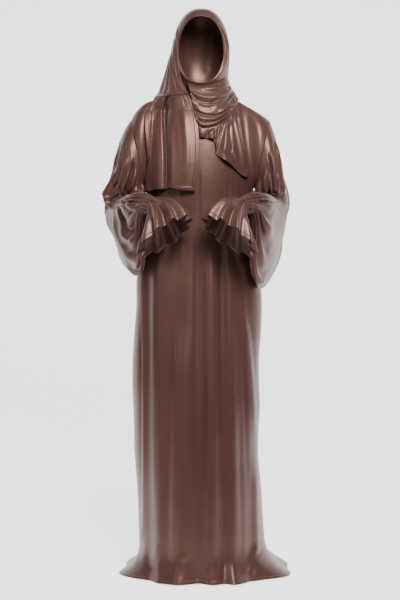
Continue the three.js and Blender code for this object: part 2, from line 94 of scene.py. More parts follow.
def plain_material(name, colour, roughness):
    """A paper that glows behind the dress and hardly in front of it."""
    material = bpy.data.materials.new(name)
    material.use_nodes = True
    shader = material.node_tree.nodes["Principled BSDF"]
    shader.inputs["Base Color"].default_value = colour
    shader.inputs["Roughness"].default_value = roughness
    shader.inputs["Specular IOR Level"].default_value = 0.1
    shader.inputs["Emission Color"].default_value = (1, 1, 1, 1)
    nodes, links = material.node_tree.nodes, material.node_tree.links
    place = nodes.new("ShaderNodeTexCoord")
    depth = nodes.new("ShaderNodeSeparateXYZ")
    links.new(place.outputs["Object"], depth.inputs["Vector"])
    fade = nodes.new("ShaderNodeMapRange")
    fade.inputs["From Min"].default_value, fade.inputs["From Max"].default_value = GLOW_FADE
    fade.inputs["To Min"].default_value = FRONT_GLOW
    fade.inputs["To Max"].default_value = PAPER_GLOW
    links.new(depth.outputs["Y"], fade.inputs["Value"])
    links.new(fade.outputs["Result"], shader.inputs["Emission Strength"])
    return material


def make_backdrop():
    floor_z = -CARRY[2] / 1000 - 0.001
    profile = [(BACKDROP["front"], 0.0)]
    bend = BACKDROP["bend"]
    for step in range(CURVE_STEPS + 1):
        angle = step / CURVE_STEPS * 90 * DEG
        profile.append((BACKDROP["back"] + bend * math.sin(angle), bend * (1 - math.cos(angle))))
    profile.append((BACKDROP["back"] + bend, BACKDROP["top"]))
    corners = [(side * BACKDROP["half"], y, floor_z + z) for y, z in profile for side in (-1, 1)]
    faces = [(2 * i, 2 * i + 1, 2 * i + 3, 2 * i + 2) for i in range(len(profile) - 1)]
    mesh = bpy.data.meshes.new("backdrop")
    mesh.from_pydata(corners, [], faces)
    mesh.polygons.foreach_set("use_smooth", [True] * len(mesh.polygons))
    backdrop = bpy.data.objects.new("backdrop", mesh)
    bpy.context.scene.collection.objects.link(backdrop)
    mesh.materials.append(plain_material("paper", BACKDROP_TONE, PAPER_ROUGHNESS))
    return backdrop


def add_lamp(name, place, aim, size, power):
    lamp = bpy.data.lights.new(name, "AREA")
    lamp.shape = "RECTANGLE"
    lamp.size, lamp.size_y = size
    lamp.energy = power
    holder = bpy.data.objects.new(name, lamp)
    holder.location = in_frame(place)
    direction = Vector(in_frame(aim) - in_frame(place))
    holder.rotation_euler = direction.to_track_quat("-Z", "Y").to_euler()
    bpy.context.scene.collection.objects.link(holder)


make_backdrop()
add_lamp("key", (350, -1700, 2300), (0, 0, 1220), (0.8, 0.7), 88)
add_lamp("fill", (-1900, -2200, 1900), (0, 0, 1250), (1.0, 1.2), 12)
add_lamp("top", (0, -300, 3600), (0, 0, 1200), (2.5, 2.0), 9)
add_lamp("rim_left", (-2200, 900, 1700), (0, 0, 1000), (0.6, 2.4), 13)
add_lamp("rim_right", (2200, 900, 1700), (0, 0, 1000), (0.6, 2.4), 16)
world = bpy.data.worlds.new("studio")
bpy.context.scene.world = world
world.use_nodes = True
world.node_tree.nodes["Background"].inputs["Color"].default_value = (1, 1, 1, 1)
world.node_tree.nodes["Background"].inputs["Strength"].default_value = ROOM_LIGHT
print("backdrop and", len(bpy.data.lights), "lamps")

# %% [markdown]
# ## Reading a maker's table
# A dress pattern is a short table: at this height the half width is so much. A smooth curve
# through the rows gives every height between. Arrays work on a whole grid of points at once,
# which is far faster in Python than one point after the other.

# %% Tables and smooth curves


def table(columns, rows):
    """Rows of numbers as one array for each named column."""
    names = columns.split()
    return {name: np.array([row[i] for row in rows], float) for i, name in enumerate(names)}


def read(rows, along, at, column):
    """Value of a column at places along another, rising, column."""
    xs, ys = rows[along], rows[column]
    slopes = np.empty_like(ys)
    slopes[1:-1] = (ys[2:] - ys[:-2]) / (xs[2:] - xs[:-2])
    slopes[0] = (ys[1] - ys[0]) / (xs[1] - xs[0])
    slopes[-1] = (ys[-1] - ys[-2]) / (xs[-1] - xs[-2])
    at = np.clip(at, xs[0], xs[-1])
    i = np.clip(np.searchsorted(xs, at, side="right") - 1, 0, len(xs) - 2)
    span = xs[i + 1] - xs[i]
    t = (at - xs[i]) / span
    curve = ys[i] * (2 * t**3 - 3 * t**2 + 1) + ys[i + 1] * (3 * t**2 - 2 * t**3)
    return curve + span * (slopes[i] * (t**3 - 2 * t**2 + t) + slopes[i + 1] * (t**3 - t**2))


def mix(a, b, t):
    return a + (b - a) * t


def smooth(t):
    t = np.clip(t, 0, 1)
    return t * t * (3 - 2 * t)


def stack(x, y, z):
    return np.stack(np.broadcast_arrays(x, y, z), axis=-1).astype(float)


def unit(vectors):
    return vectors / np.maximum(np.linalg.norm(vectors, axis=-1, keepdims=True), 1e-9)


print("tables ready")

# %% [markdown]
# ## From a surface to cloth
# A surface here is a function of u and v, both from 0 to 1. The cloth is that surface, a second
# one 0.9 mm inside it, and a rim round the open edges, so every piece is one closed thin body. A
# value on each point keeps its distance from the hem, so that the stitching can follow it.

# %% Cloth from a surface
CLOTH_WALL = 0.9
NORMAL_STEP = 1e-3
FAR_FROM_HEM = 100.0


def normals(surface, u, v):
    along_u = surface(u + NORMAL_STEP, v) - surface(u - NORMAL_STEP, v)
    along_v = surface(u, v + NORMAL_STEP) - surface(u, v - NORMAL_STEP)
    return unit(np.cross(along_u, along_v))


def grid_faces(across, along, tube):
    columns = across if tube else across + 1
    i, j = np.meshgrid(np.arange(across), np.arange(along))
    i, j = i.ravel(), j.ravel()
    after = (i + 1) % columns
    outer = np.stack([j * columns + i, j * columns + after,
                      (j + 1) * columns + after, (j + 1) * columns + i], axis=1)
    shift = columns * (along + 1)
    inner = outer[:, ::-1] + shift
    first = np.arange(across)
    second = (first + 1) % columns
    top = along * columns
    rims = [np.stack([first, first + shift, second + shift, second], axis=1),
            np.stack([top + first, top + second, top + second + shift, top + first + shift],
                     axis=1)]
    if not tube:
        low = np.arange(along) * columns
        high = low + columns
        end = across
        rims.append(np.stack([low, high, high + shift, low + shift], axis=1))
        rims.append(np.stack([low + end, low + end + shift, high + end + shift, high + end],
                             axis=1))
    return np.concatenate([outer, inner] + rims)


def grid_normals(points, tube):
    """Outward directions from the neighbours of each point, so that a wall never folds over."""
    before, after = np.roll(points, 1, axis=1), np.roll(points, -1, axis=1)
    if not tube:
        before[:, 0], after[:, -1] = points[:, 0], points[:, -1]
    below = np.concatenate([points[:1], points[:-1]])
    above = np.concatenate([points[1:], points[-1:]])
    return unit(np.cross(after - before, above - below))


def hem_distance(points, hems):
    """Millimetres along the cloth from each point to the nearest of the named edges."""
    along = np.linalg.norm(np.diff(points, axis=0), axis=2)
    across = np.linalg.norm(np.diff(points, axis=1), axis=2)
    distance = np.full(points.shape[:2], FAR_FROM_HEM)
    runs = {"bottom": (along, 0, 1), "top": (along, 0, -1),
            "first": (across, 1, 1), "last": (across, 1, -1)}
    for name in hems.split():
        steps, axis, way = runs[name]
        steps = steps if way > 0 else np.flip(steps, axis)
        padded = np.concatenate([np.zeros_like(np.take(steps, [0], axis)), steps], axis)
        reached = np.cumsum(padded, axis)
        distance = np.minimum(distance, reached if way > 0 else np.flip(reached, axis))
    return distance


def cloth(name, surface, across, along, node, tube=False, hems=""):
    """Makes one piece of cloth in place of a node; hems names its sewn edges."""
    u = np.linspace(0, 1, across + 1)[: across if tube else None]
    u, v = np.meshgrid(u, np.linspace(0, 1, along + 1))
    points = surface(u, v)
    inside = points - grid_normals(points, tube) * CLOTH_WALL
    both = np.concatenate([points.reshape(-1, 3), inside.reshape(-1, 3)])
    faces = grid_faces(across, along, tube)
    mesh = bpy.data.meshes.new(name)
    mesh.vertices.add(len(both))
    mesh.vertices.foreach_set("co", in_frame(both).ravel())
    mesh.loops.add(faces.size)
    mesh.loops.foreach_set("vertex_index", faces.ravel())
    mesh.polygons.add(len(faces))
    mesh.polygons.foreach_set("loop_start", np.arange(0, faces.size, 4))
    mesh.polygons.foreach_set("use_smooth", np.ones(len(faces), bool))
    mesh.update(calc_edges=True)
    layer = mesh.attributes.new("hem_mm", "FLOAT", "POINT")
    to_hem = np.tile(hem_distance(points, hems).ravel(), 2)
    layer.data.foreach_set("value", to_hem.astype(np.float32))
    uv = mesh.uv_layers.new(name="cloth")
    width = np.linalg.norm(np.diff(points, axis=1), axis=2).sum(axis=1).mean() / 1000
    length = np.linalg.norm(np.diff(points, axis=0), axis=2).sum(axis=0).mean() / 1000
    flat = np.stack([u * width, v * length], axis=-1).reshape(-1, 2)
    corners = np.concatenate([flat, flat])[faces]
    wraps = np.ptp(corners[:, :, 0], axis=1) > width / 2
    corners[:, :, 0] += width * (wraps[:, None] & (corners[:, :, 0] < width / 2))
    uv.data.foreach_set("uv", corners.reshape(-1, 2).ravel().astype(np.float32))
    piece = bpy.data.objects.new(name, mesh)
    bpy.context.scene.collection.objects.link(piece)
    mesh.materials.append(satin)
    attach(piece, "root")
    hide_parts(node)
    ends = both[faces[: across * along]]
    crossed = np.cross(ends[:, 2] - ends[:, 0], ends[:, 3] - ends[:, 1])
    area = 0.5 * np.linalg.norm(crossed, axis=1).sum() / 1e6
    print(f"{name}: {2 * len(faces)} triangles, {width:.3f} x {length:.3f} m, {area:.4f} m2")
    return piece


# %% [markdown]
# ## Satin
# Satin is a weave of long floating threads: smooth, with a wide silky highlight that is a
# little redder than white. The base colour drifts by a few percent, as dyed cloth does. Sheen
# gives the pale bloom where the cloth turns away, and two bumps give the crumple of handled
# cloth and, far finer, the ribs of the weave. A third bump sinks a stitched groove beside each
# hem, where the hem distance kept on each point says that it runs.

# %% Satin material
SATIN = (0.062, 0.0285, 0.0230, 1)
SATIN_DEEP = (0.050, 0.0228, 0.0182, 1)
HIGHLIGHT = (1.0, 0.60, 0.50, 1)
BLOOM = (0.95, 0.70, 0.62, 1)
ROUGHNESS = (0.32, 0.42)
HEM_BUMP_MM = 25.0     # how far from a hem its fold and stitching reach
HEM_TONES = ((0.38, 0.9), (0.42, 0.35), (0.46, 0.85), (0.52, 0.45))


def make_satin():
    material = bpy.data.materials.new("mocha_satin")
    material.use_nodes = True
    nodes, links = material.node_tree.nodes, material.node_tree.links
    shader = nodes["Principled BSDF"]
    place = nodes.new("ShaderNodeTexCoord")

    drift = nodes.new("ShaderNodeTexNoise")
    drift.inputs["Scale"].default_value = 3.0
    drift.inputs["Detail"].default_value = 3.0
    links.new(place.outputs["Object"], drift.inputs["Vector"])
    dye = nodes.new("ShaderNodeValToRGB")
    dye.color_ramp.elements[0].position = 0.35
    dye.color_ramp.elements[0].color = SATIN_DEEP
    dye.color_ramp.elements[1].position = 0.62
    dye.color_ramp.elements[1].color = SATIN
    links.new(drift.outputs["Fac"], dye.inputs["Fac"])
    links.new(dye.outputs["Color"], shader.inputs["Base Color"])

    gloss = nodes.new("ShaderNodeMapRange")
    gloss.inputs["To Min"].default_value, gloss.inputs["To Max"].default_value = ROUGHNESS
    links.new(drift.outputs["Fac"], gloss.inputs["Value"])
    links.new(gloss.outputs["Result"], shader.inputs["Roughness"])

    shader.inputs["Specular IOR Level"].default_value = 0.62
    shader.inputs["Specular Tint"].default_value = HIGHLIGHT
    shader.inputs["Sheen Weight"].default_value = 0.06
    shader.inputs["Sheen Roughness"].default_value = 0.42
    shader.inputs["Sheen Tint"].default_value = BLOOM

    crumple = nodes.new("ShaderNodeTexNoise")
    crumple.inputs["Scale"].default_value = 13.0
    crumple.inputs["Detail"].default_value = 4.0
    crumple.inputs["Roughness"].default_value = 0.5
    crumple.inputs["Distortion"].default_value = 0.9
    links.new(place.outputs["Object"], crumple.inputs["Vector"])
    soft = nodes.new("ShaderNodeBump")
    soft.inputs["Strength"].default_value = 0.10
    soft.inputs["Distance"].default_value = 0.010
    links.new(crumple.outputs["Fac"], soft.inputs["Height"])

    weave = nodes.new("ShaderNodeTexWave")
    weave.wave_type = "BANDS"
    weave.bands_direction = "DIAGONAL"
    weave.inputs["Scale"].default_value = 900.0
    weave.inputs["Distortion"].default_value = 0.6
    links.new(place.outputs["UV"], weave.inputs["Vector"])
    ribs = nodes.new("ShaderNodeBump")
    ribs.inputs["Strength"].default_value = 0.10
    ribs.inputs["Distance"].default_value = 0.0002
    links.new(weave.outputs["Fac"], ribs.inputs["Height"])
    links.new(soft.outputs["Normal"], ribs.inputs["Normal"])

    hem = nodes.new("ShaderNodeAttribute")
    hem.attribute_name = "hem_mm"
    fold = nodes.new("ShaderNodeValToRGB")
    fold.color_ramp.interpolation = "EASE"
    stops = fold.color_ramp.elements
    stops[0].position, stops[0].color = 0.0, (0.85, 0.85, 0.85, 1)
    stops[1].position, stops[1].color = 1.0, (0.45, 0.45, 0.45, 1)
    for position, tone in HEM_TONES:
        stop = stops.new(position)
        stop.color = (tone, tone, tone, 1)
    reach = nodes.new("ShaderNodeMapRange")
    reach.inputs["From Max"].default_value = HEM_BUMP_MM
    links.new(hem.outputs["Fac"], reach.inputs["Value"])
    links.new(reach.outputs["Result"], fold.inputs["Fac"])
    stitch = nodes.new("ShaderNodeBump")
    stitch.inputs["Strength"].default_value = 0.8
    stitch.inputs["Distance"].default_value = 0.0012
    links.new(fold.outputs["Color"], stitch.inputs["Height"])
    links.new(ribs.outputs["Normal"], stitch.inputs["Normal"])
    links.new(stitch.outputs["Normal"], shader.inputs["Normal"])
    return material


satin = make_satin()
print("satin with", len(satin.node_tree.nodes), "nodes")

# %% [markdown]
# ## Creases placed one by one
# A crease is a short line on the cloth, with a depth and a width. Its profile is a rounded ridge
# with a sharper trough on one side, which is how a soft heavy satin falls. Each row of a crease
# table is one crease, and no two are alike.

# %% Creases on a surface


def path_distance(x, y, low_x, low_y, high_x, high_y, bow):
    """Signed distance from a bowed line, and the share of the way along it."""
    span_x, span_y = high_x - low_x, high_y - low_y
    length = math.hypot(span_x, span_y)
    share = ((x - low_x) * span_x + (y - low_y) * span_y) / length**2
    aside = ((x - low_x) * span_y - (y - low_y) * span_x) / length
    inside = np.clip(share, 0, 1)
    return aside - bow * 4 * inside * (1 - inside), share


def crease_height(rows, x, y, fade_share=0.28):
    """Sum of the creases at (x, y), in millimetres; ends fade softly into the cloth."""
    height = np.zeros(np.shape(x))
    for k in range(len(rows["depth"])):
        line = [rows[name][k] for name in ("lowX", "lowY", "highX", "highY", "bow")]
        off, share = path_distance(x, y, *line)
        off = off / rows["half"][k]
        ends = smooth((share + 0.02) / fade_share) * smooth((1.02 - share) / fade_share)
        profile = np.exp(-off * off) - 0.45 * np.exp(-((off - 1.5) / 0.8) ** 2)
        height += rows["depth"][k] * profile * ends
    return height


def creased(surface, rows, size):
    """The surface with creases given in millimetres along u and v of its flat size."""
    def shaped(u, v):
        height = crease_height(rows, np.clip(u, 0, 1) * size[0], np.clip(v, 0, 1) * size[1])
        return surface(u, v) + normals(surface, u, v) * height[..., None]
    return shaped


CREASE = "lowX lowY highX highY bow depth half"
print("creases ready")

# %% [markdown]
# ## The dress
# Front and back are cut wide and hang from the shoulders. The section at each height is two half
# ellipses, and long folds push it in and out. The dress is cut longer than it hangs, so its hem
# pools on the floor: the last sections grow quickly outwards.

# %% Sections of the dress
UNDERARM_X, UNDERARM_Z = 160.0, 1150.0
TIP_X, TIP_Z = 207.0, 1352.0
ARMHOLE_DEPTH = 62.0
NECK_X, NECK_Y, NECK_Z = 72.0, 8.0, 1440.0
NECK_FRONT_Y, NECK_FRONT_Z = -66.0, 1405.0
NECK_SHARE = 0.42
BELOW_ARM = 0.7
HEM_CROWDING = 1.5
SIDE_STOP = 0.06
SEAM_GAP = 0.3

BODY = table("z right left front back", [
    (2, 240, 274, 214, 292), (12, 225, 258, 210, 282), (30, 202, 234, 204, 268),
    (65, 185, 203, 196, 253), (140, 185, 192, 190, 236), (246, 189, 185, 184, 220),
    (351, 197, 176, 176, 203), (430, 199, 177, 170, 190), (500, 201, 180, 163, 180),
    (572, 204, 178, 156, 170), (650, 202, 178, 148, 160), (725, 197, 184, 140, 150),
    (806, 191, 186, 132, 140), (885, 190, 180, 125, 126), (940, 176, 170, 121, 117),
    (1000, 162, 161, 118, 110), (1080, 162, 163, 116, 106), (1150, 160, 160, 116, 104),
])
HEM_LOBES = table("bearing reach", [
    (-180, 4), (-150, -9), (-124, 12), (-98, -10), (-72, 11), (-47, -8), (-22, 8), (0, -6),
    (20, 9), (42, -9), (66, 12), (92, -8), (116, 13), (146, -10), (180, 4),
])
LOBE_HEIGHT = 70.0
SHOULDER = table("x right left", [
    (72, 1440, 1440), (100, 1431, 1420), (136, 1415, 1398),
    (166, 1403, 1381), (192, 1378, 1364), (207, 1352, 1352),
])
FOLD = "lowX lowZ highX highZ depth half"
FRONT_FOLDS = table(FOLD, [
    (-150, 20, -156, 1000, -13, 15), (-122, 0, -128, 1090, 7, 14), (-62, 0, -50, 760, 9, 24),
    (-6, 0, -2, 1060, -9, 18), (34, 0, 33, 1000, 8, 18), (70, 0, 60, 1120, -10, 13),
    (100, 0, 86, 1160, 8, 16), (176, 330, 111, 900, 9, 16), (150, 0, 150, 420, -10, 16),
    (-200, 0, -178, 260, 8, 20),
])
BACK_FOLDS = table(FOLD, [
    (-170, 0, -120, 1000, -12, 18), (-120, 0, -84, 1120, 10, 20), (-64, 0, -44, 1180, -11, 17),
    (-14, 0, -8, 1120, 11, 20), (40, 0, 30, 1160, -11, 18), (92, 0, 68, 1100, 10, 20),
    (140, 0, 104, 1180, -12, 18), (190, 0, 138, 980, 9, 18),
])


def fold_shift(folds, x, z):
    shift = np.zeros(np.shape(x))
    for k in range(len(folds["depth"])):
        low_x, low_z, high_x, high_z, depth, half = (folds[name][k] for name in FOLD.split())
        share = (z - low_z) / (high_z - low_z)
        off = (x - mix(low_x, high_x, share)) / half
        ends = smooth((high_z - z) / 160) * smooth((z - low_z + 60) / 60)
        shift += depth * np.exp(-off * off) * ends
    return shift


def body_section(bearing, z):
    across, ahead = np.sin(bearing * DEG), np.cos(bearing * DEG)
    half = np.where(across > 0, read(BODY, "z", z, "left"), read(BODY, "z", z, "right"))
    depth = np.where(ahead > 0, read(BODY, "z", z, "front"), read(BODY, "z", z, "back"))
    x = half * across
    folds = np.where(ahead > 0, fold_shift(FRONT_FOLDS, x, z), fold_shift(BACK_FOLDS, x, z))
    around = np.where(bearing > 180, bearing - 360, bearing)
    lobe = read(HEM_LOBES, "bearing", around, "reach") * smooth(1 - z / LOBE_HEIGHT)
    y = -ahead * (depth + lobe + folds * np.minimum(1, np.abs(ahead) * 3))
    return stack(x + lobe * across, y, z)


def from_centre(bearing):
    return np.where(np.cos(bearing * DEG) > 0, np.abs(bearing), np.abs(180 - bearing)) / 90


def top_edge(bearing):
    front = np.cos(bearing * DEG) > 0
    side = np.where(np.sin(bearing * DEG) < 0, -1, 1)
    off_centre = from_centre(bearing)
    share = (off_centre - NECK_SHARE) / (1 - NECK_SHARE)
    x = mix(NECK_X, TIP_X, share)
    z = np.where(side < 0, read(SHOULDER, "x", x, "right"), read(SHOULDER, "x", x, "left"))
    shoulder = stack(side * x, mix(NECK_Y, 0, share), z)
    angle = off_centre / NECK_SHARE * 90 * DEG
    middle_y = np.where(front, NECK_FRONT_Y, CARRY[1])
    middle_z = np.where(front, NECK_FRONT_Z, CARRY[2])
    neck = stack(side * NECK_X * np.sin(angle), mix(NECK_Y, middle_y, np.cos(angle)),
                 mix(NECK_Z, middle_z, np.cos(angle) ** 2))
    return np.where((off_centre > NECK_SHARE)[..., None], shoulder, neck)


def dress_point(bearing, rise):
    """The dress at a bearing (0 front, 90 its left side), from the hem (0) to the top edge (1)."""
    bearing, rise = np.broadcast_arrays(np.asarray(bearing, float), np.asarray(rise, float))
    share = (np.clip(rise, 0, BELOW_ARM) / BELOW_ARM) ** HEM_CROWDING
    below = body_section(bearing, mix(BODY["z"][0], UNDERARM_Z, share))
    arc = np.minimum(mix(-90, 90, (rise - BELOW_ARM) / (1 - BELOW_ARM)), 90) * DEG
    share = (1 + np.sin(arc)) / 2
    outward = np.where(np.cos(bearing * DEG) > 0, -1, 1)
    off_centre = from_centre(bearing)
    low, top = body_section(bearing, np.full(bearing.shape, UNDERARM_Z)), top_edge(bearing)
    armhole = ARMHOLE_DEPTH * np.cos(arc) * smooth((off_centre - 0.5) / 0.45)
    depth = outward * mix(top[..., 1], low[..., 1], np.cos(share * 90 * DEG))
    fuller = np.hypot(np.maximum(depth, 0), armhole) - np.maximum(depth, 0)
    y = outward * (depth + fuller + 0.2 * share**4)
    rising = mix(np.sin(share * 90 * DEG), share, off_centre**4)
    above = stack(mix(low[..., 0], top[..., 0], share), y, mix(low[..., 2], top[..., 2], rising))
    return np.where((rise <= BELOW_ARM)[..., None], below, above)


def front_panel(u, v):
    return dress_point(mix(-90 + SIDE_STOP, 90 - SIDE_STOP, u), v)


def back_panel(u, v):
    return dress_point(mix(90 + SIDE_STOP, 270 - SIDE_STOP, u), v)


print("waist half width", float(body_section(np.array(90.0), np.array(1000.0))[0]))

# %% [markdown]
# The solid holds only the eight to ten largest folds of each side. Here smaller ones join in:
# lines that start at the chest and die out, slack folds at the sides, and the short buckles where
# the hem meets the floor. They are tabled by x and height, because they hang down the panel.

# %% Front and back of the dress
FRONT_CREASES = table(CREASE, [
    (-181, 60, -176, 820, 3, -5, 6), (-132, 120, -136, 1010, -3, 4, 7),
    (-97, 30, -92, 640, 4, -4, 9),
    (-72, 300, -66, 930, -5, 3.5, 8), (-36, 20, -28, 560, 3, 4, 10),
    (-15, 480, -12, 1120, 2, -3, 6),
    (12, 40, 14, 700, -4, -4, 9), (46, 200, 47, 980, 2, 3.5, 7), (84, 30, 76, 800, 3, -4, 8),
    (112, 60, 104, 560, -3, 4, 9), (162, 400, 132, 780, 6, 5, 8), (138, 250, 112, 900, 5, -4, 7),
    (172, 40, 168, 330, -3, 4, 9), (-2, 900, -3, 1230, 0, -3, 5), (85, 930, 84, 1190, 0, -3, 5),
    (108, 900, 110, 1200, 2, 3, 6), (-48, 880, -60, 1180, -4, 2.5, 8),
    (-112, 860, -98, 1150, 4, 3, 8),
    (128, 900, 118, 1130, -3, -3, 7), (-158, 30, -120, 110, 6, 5, 10),
    (-80, 20, -40, 90, -5, 5, 11),
    (20, 18, 66, 84, 5, 4.5, 10), (120, 20, 170, 100, 7, 6, 11), (-196, 25, -170, 150, -4, 5, 9),
])
BACK_CREASES = table(CREASE, [
    (-190, 60, -150, 760, 4, 5, 9), (-142, 40, -108, 980, -5, -4.5, 8),
    (-96, 30, -62, 700, 4, 4, 9),
    (-38, 60, -28, 1090, -3, -4, 8), (12, 30, 10, 820, 4, 4, 10), (66, 50, 50, 1130, -4, -4, 8),
    (118, 30, 88, 720, 5, 4.5, 9), (164, 60, 124, 1010, -4, -4, 8), (210, 30, 160, 560, 3, 5, 10),
    (-60, 900, -40, 1240, 2, 3, 7), (36, 880, 26, 1260, -2, -3, 7), (-150, 20, -90, 120, 7, 6, 12),
    (20, 16, 90, 110, -6, 6, 12), (150, 18, 210, 130, 7, 6, 12),
])
FINE_SHARE = 0.38    # the smaller folds hang softly between the large ones


def by_height(surface, rows):
    """Adds creases that are tabled by x and height."""
    def shaped(u, v):
        place = surface(u, v)
        height = crease_height(rows, place[..., 0], place[..., 2])
        height *= FINE_SHARE * smooth(v / 0.03) * smooth((1 - v) / 0.1)
        height *= smooth(u / 0.06) * smooth((1 - u) / 0.06)
        return place + normals(surface, u, v) * height[..., None]
    return shaped


dress_front = cloth("front", by_height(front_panel, FRONT_CREASES), 190, 190, "dress_front",
                    hems="bottom")
dress_back = cloth("back", by_height(back_panel, BACK_CREASES), 150, 170, "dress_back",
                   hems="bottom")

# %% [markdown]
# ## Sleeves
# A bishop sleeve is a very wide tube, set into the armhole and gathered into elastic at the
# wrist. Below the forearm the slack hangs as a bag. The arm is a row of rings: each has a place,
# a tilt and four radii, and a smooth curve joins ring to ring.

# %% Rings of the arm
ARM = table("x y z lean tilt turn front outer back inner sway gather", [
    (184, 0, 1251, 76, 0, 0, 62, 104, 62, 104, 0, 0),
    (199, 0, 1237, 68, 0, 0, 68, 84, 68, 95, 0, 0),
    (206, 4, 1200, 58, 0, 0, 72, 76, 78, 84, 0, 0),
    (213, 10, 1155, 42, 5, 0, 74, 62, 88, 64, 0, 0),
    (219, 14, 1121, 18, 19, 3, 66, 64, 108, 52, 0, 0),
    (221, 2, 1099, 3, 38, 8, 53, 61, 134, 51, 3, 0),
    (219, -22, 1086, 0, 60, 13, 46, 52, 168, 49, 8, 0),
    (211, -66, 1085, 0, 80, 18, 43, 43, 190, 42, 12, 1),
    (199, -106, 1088, 0, 90, 22, 41, 41, 188, 40, 14, 2.5),
    (183, -140, 1093, 0, 90, 26, 38, 40, 150, 38, 12, 3.6),
    (168, -164, 1099, 0, 86, 36, 33, 35, 84, 34, 6, 3.4),
    (157, -179, 1101, 0, 80, 45, 28, 30, 40, 30, 0, 2.2),
    (146, -189, 1099, 0, 74, 53, 25, 25, 25, 25, 0, 1.4),
    (137, -195, 1094, 0, 68, 58, 25, 25, 25, 25, 0, 1.6),
    (126, -201, 1085, 0, 60, 60, 36, 35, 38, 35, 0, 4),
    (113, -208, 1064, 0, 50, 60, 58, 54, 66, 56, 0, 7),
    (103, -213, 1038, 0, 42, 58, 72, 66, 86, 70, 0, 10),
    (96, -217, 1012, 0, 38, 56, 80, 74, 96, 80, 0, 12),
])
BAND_START, BAND_END, LAST_RING = 12, 13, 17
NARROWING = table("index share", [(0, 0), (1, 0.55), (4, 1), (7, 1), (9, 0)])
LOW_PINCH = 0.4
SLEEVE_GATHERS = 16
RUFFLE_WAVES = 10
ARMS = [
    dict(name="right", sign=-1, wrist_in=0, outer=1, sag=1, sway=1.4),
    dict(name="left", sign=1, wrist_in=16, outer=0.72, sag=1.2, sway=1.9),
]


def turned(vector, axis, angle):
    """A vector turned about the x axis (0) or the z axis (2)."""
    c, s = math.cos(angle), math.sin(angle)
    x, y, z = vector
    return (x, c * y - s * z, s * y + c * z) if axis == 0 else (c * x - s * y, s * x + c * y, z)


def armhole_ring(side, angle):
    share = (1 + np.sin(angle)) / 2
    x = mix(UNDERARM_X, TIP_X, share) + 2 * SEAM_GAP
    return stack(side["sign"] * x, -ARMHOLE_DEPTH * np.cos(angle), mix(UNDERARM_Z, TIP_Z, share))


def arm_ring(side, index, angle):
    """One ring; angle 0 is the front or top, 90 outer, 180 the underside, 270 inner."""
    if index == 0:
        return armhole_ring(side, angle)
    row = {name: ARM[name][index] for name in ARM}
    lean, tilt, turn = (row[name] * DEG for name in ("lean", "tilt", "turn"))
    outward = turned(turned((math.cos(lean), 0, math.sin(lean)), 0, -tilt), 2, -turn)
    ahead = turned(turned((0, -1, 0), 0, -tilt), 2, -turn)
    across, along = np.sin(angle), np.cos(angle)
    narrow = mix(1, side["outer"], float(read(NARROWING, "index", float(index), "share")))
    back = row["back"] * (side["sag"] if 5 < index < 11 else 1)
    waves = RUFFLE_WAVES if index > BAND_END else SLEEVE_GATHERS
    ripple = row["gather"] * np.cos(waves * angle)
    pinch = 1 - LOW_PINCH * np.maximum(-along, 0) ** 2 * row["sway"] / 12
    reach_out = np.where(across > 0, row["outer"] * narrow, row["inner"]) * pinch
    reach_ahead = np.where(along > 0, row["front"], back)
    out = across * (reach_out + ripple) - row["sway"] * side["sway"] * ((1 - along) / 2) ** 2
    forward = along * (reach_ahead + ripple)
    centre_x = row["x"] - side["wrist_in"] * min(max((index - 5) / 7, 0), 1)
    x, y, z = (c + out * outward[k] + forward * ahead[k]
               for k, c in enumerate((centre_x, row["y"], row["z"])))
    return stack(side["sign"] * x, y, z)


def blend_rings(ring, last, station, angle):
    """Catmull-Rom curve through rings that are worked out one by one."""
    rings = np.stack([ring(k, angle) for k in range(last + 1)])
    i = np.clip(np.floor(station), 0, last - 1).astype(int)
    t = (station - i)[..., None]

    def take(k):
        picked = np.clip(k, 0, last)[None, ..., None]
        return np.take_along_axis(rings, np.broadcast_to(picked, (1, *rings.shape[1:])), axis=0)[0]
    return (take(i - 1) * (-t + 2 * t**2 - t**3) + take(i) * (2 - 5 * t**2 + 3 * t**3)
            + take(i + 1) * (t + 4 * t**2 - 3 * t**3) + take(i + 2) * (t**3 - t**2)) / 2


def arm_surface(side, start, end):
    def surface(u, v):
        u, v = np.broadcast_arrays(np.asarray(u, float), np.asarray(v, float))
        angle = -side["sign"] * u * 2 * math.pi
        return blend_rings(lambda k, a: arm_ring(side, k, a), LAST_RING, mix(start, end, v), angle)
    return surface


print("wrist ring half width", ARM["outer"][BAND_START])

# %% [markdown]
# Creases of a sleeve are tabled in degrees round the arm and in stations along it. Long crests run
# from the shoulder to the elbow. At the elbow short creases stack up, and from the elastic a fan
# of folds opens into the bag. The ruffle is a circle of cloth, so its waves grow to the hem.

